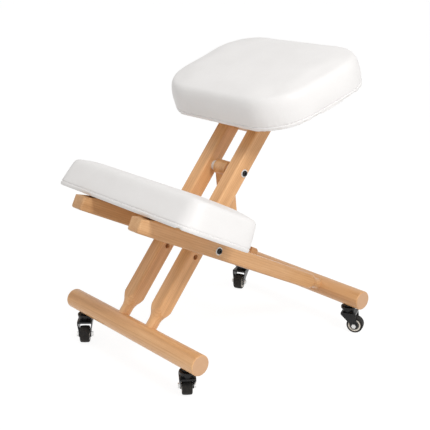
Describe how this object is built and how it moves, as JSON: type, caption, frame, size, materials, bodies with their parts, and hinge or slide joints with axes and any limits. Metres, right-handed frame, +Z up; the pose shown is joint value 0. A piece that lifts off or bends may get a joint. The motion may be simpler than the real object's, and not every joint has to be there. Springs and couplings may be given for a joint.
{
  "type": "kneeling chair",
  "caption": "Wooden kneeling chair: crossed beech frames, tilted white seat and knee pad, notched prop strut, round foot bars on swivel casters.",
  "frame": {"origin": "on the floor, under the middle of the whole chair", "axes": "+Z up, +X across the chair to the sitter's left as seen from the front, +Y towards the back, so the knee pad is at -Y and the seat at +Y"},
  "size_m": [0.47, 0.5954, 0.6674],
  "materials": {
    "lacquered_beech": "clear satin lacquer over straight-grained beech",
    "birch_plywood": "raw sanded plywood, hidden under the pads",
    "white_leatherette": "soft satin grain over foam, one seam round the lower edge",
    "black_steel": "black powder coat",
    "black_bolt_steel": "black oxide, lightly oiled",
    "zinc_steel": "bright zinc plate",
    "tyre_rubber": "matt black tread",
    "hub_plastic": "moulded off-white",
    "white_nylon": "natural white nylon",
    "black_nylon": "moulded black nylon"
  },
  "bodies": {
    "knee_frame": {"knee_arm_left": "lacquered_beech", "knee_arm_right": "lacquered_beech", "knee_board": "birch_plywood", "knee_cushion": "white_leatherette", "knee_screws": "zinc_steel", "notched_rack_left": "lacquered_beech", "notched_rack_right": "lacquered_beech", "pivot_bolts": "black_bolt_steel", "pivot_sleeve_nuts": "black_bolt_steel", "pivot_spacers": "white_nylon", "pivot_washers": "white_nylon", "rack_rail_front": "lacquered_beech", "rack_rail_rear": "lacquered_beech", "rack_screws": "zinc_steel", "rear_caster_sockets": "black_nylon", "rear_foot_bar": "lacquered_beech"},
    "seat_frame": {"front_caster_sockets": "black_nylon", "front_foot_bar": "lacquered_beech", "seat_arm_left": "lacquered_beech", "seat_arm_right": "lacquered_beech", "seat_board": "birch_plywood", "seat_cross_rail": "lacquered_beech", "seat_cushion": "white_leatherette", "seat_screws": "zinc_steel", "strut_bolt": "black_bolt_steel", "strut_sleeve_nut": "black_bolt_steel", "strut_spacers": "white_nylon", "strut_washers": "white_nylon"},
    "strut": {"adjusting_strut": "lacquered_beech", "strut_foot_dowel": "lacquered_beech"},
    "fork_front_left": {"caster_stem_front_left": "zinc_steel", "caster_race_front_left": "black_steel", "caster_fork_front_left": "black_steel", "caster_axle_front_left": "zinc_steel"},
    "wheel_front_left": {"caster_tyre_front_left": "tyre_rubber", "caster_hub_front_left": "hub_plastic", "caster_guards_front_left": "black_nylon"},
    "fork_front_right": {"caster_stem_front_right": "zinc_steel", "caster_race_front_right": "black_steel", "caster_fork_front_right": "black_steel", "caster_axle_front_right": "zinc_steel"},
    "wheel_front_right": {"caster_tyre_front_right": "tyre_rubber", "caster_hub_front_right": "hub_plastic", "caster_guards_front_right": "black_nylon"},
    "fork_rear_left": {"caster_stem_rear_left": "zinc_steel", "caster_race_rear_left": "black_steel", "caster_fork_rear_left": "black_steel", "caster_axle_rear_left": "zinc_steel"},
    "wheel_rear_left": {"caster_tyre_rear_left": "tyre_rubber", "caster_hub_rear_left": "hub_plastic", "caster_guards_rear_left": "black_nylon"},
    "fork_rear_right": {"caster_stem_rear_right": "zinc_steel", "caster_race_rear_right": "black_steel", "caster_fork_rear_right": "black_steel", "caster_axle_rear_right": "zinc_steel"},
    "wheel_rear_right": {"caster_tyre_rear_right": "tyre_rubber", "caster_hub_rear_right": "hub_plastic", "caster_guards_rear_right": "black_nylon"}
  },
  "joints": [
    {"name": "main_pivot", "type": "hinge", "parent": "knee_frame", "child": "seat_frame", "pos_m": [0, -0.08794, 0.2675], "axis": [1, 0, 0], "range_deg": [0, 11]},
    {"name": "strut_pivot", "type": "hinge", "parent": "seat_frame", "child": "strut", "pos_m": [0, 0.03311, 0.40564], "axis": [1, 0, 0], "range_deg": [-3.3, 0]},
    {"name": "swivel_front_left", "type": "hinge", "parent": "seat_frame", "child": "fork_front_left", "pos_m": [-0.1875, -0.23295, 0.0552], "axis": [0, 0, 1], "continuous": true},
    {"name": "roll_front_left", "type": "hinge", "parent": "fork_front_left", "child": "wheel_front_left", "pos_m": [-0.17341, -0.24478, 0.02], "axis": [0.6428, 0.766, 0], "continuous": true},
    {"name": "swivel_front_right", "type": "hinge", "parent": "seat_frame", "child": "fork_front_right", "pos_m": [0.1875, -0.23295, 0.0552], "axis": [0, 0, 1], "continuous": true},
    {"name": "roll_front_right", "type": "hinge", "parent": "fork_front_right", "child": "wheel_front_right", "pos_m": [0.17261, -0.22213, 0.02], "axis": [-0.5878, -0.809, 0], "continuous": true},
    {"name": "swivel_rear_left", "type": "hinge", "parent": "knee_frame", "child": "fork_rear_left", "pos_m": [-0.1875, 0.26405, 0.0552], "axis": [0, 0, 1], "continuous": true},
    {"name": "roll_rear_left", "type": "hinge", "parent": "fork_rear_left", "child": "wheel_rear_left", "pos_m": [-0.17886, 0.2478, 0.02], "axis": [0.8829, 0.4695, 0], "continuous": true},
    {"name": "swivel_rear_right", "type": "hinge", "parent": "knee_frame", "child": "fork_rear_right", "pos_m": [0.1875, 0.26405, 0.0552], "axis": [0, 0, 1], "continuous": true},
    {"name": "roll_rear_right", "type": "hinge", "parent": "fork_rear_right", "child": "wheel_rear_right", "pos_m": [0.20375, 0.27269, 0.02], "axis": [-0.4695, 0.8829, 0], "continuous": true}
  ],
  "couplings": [
    {"joint": "strut_pivot", "follows": "main_pivot", "ratio": -0.3}
  ]
}
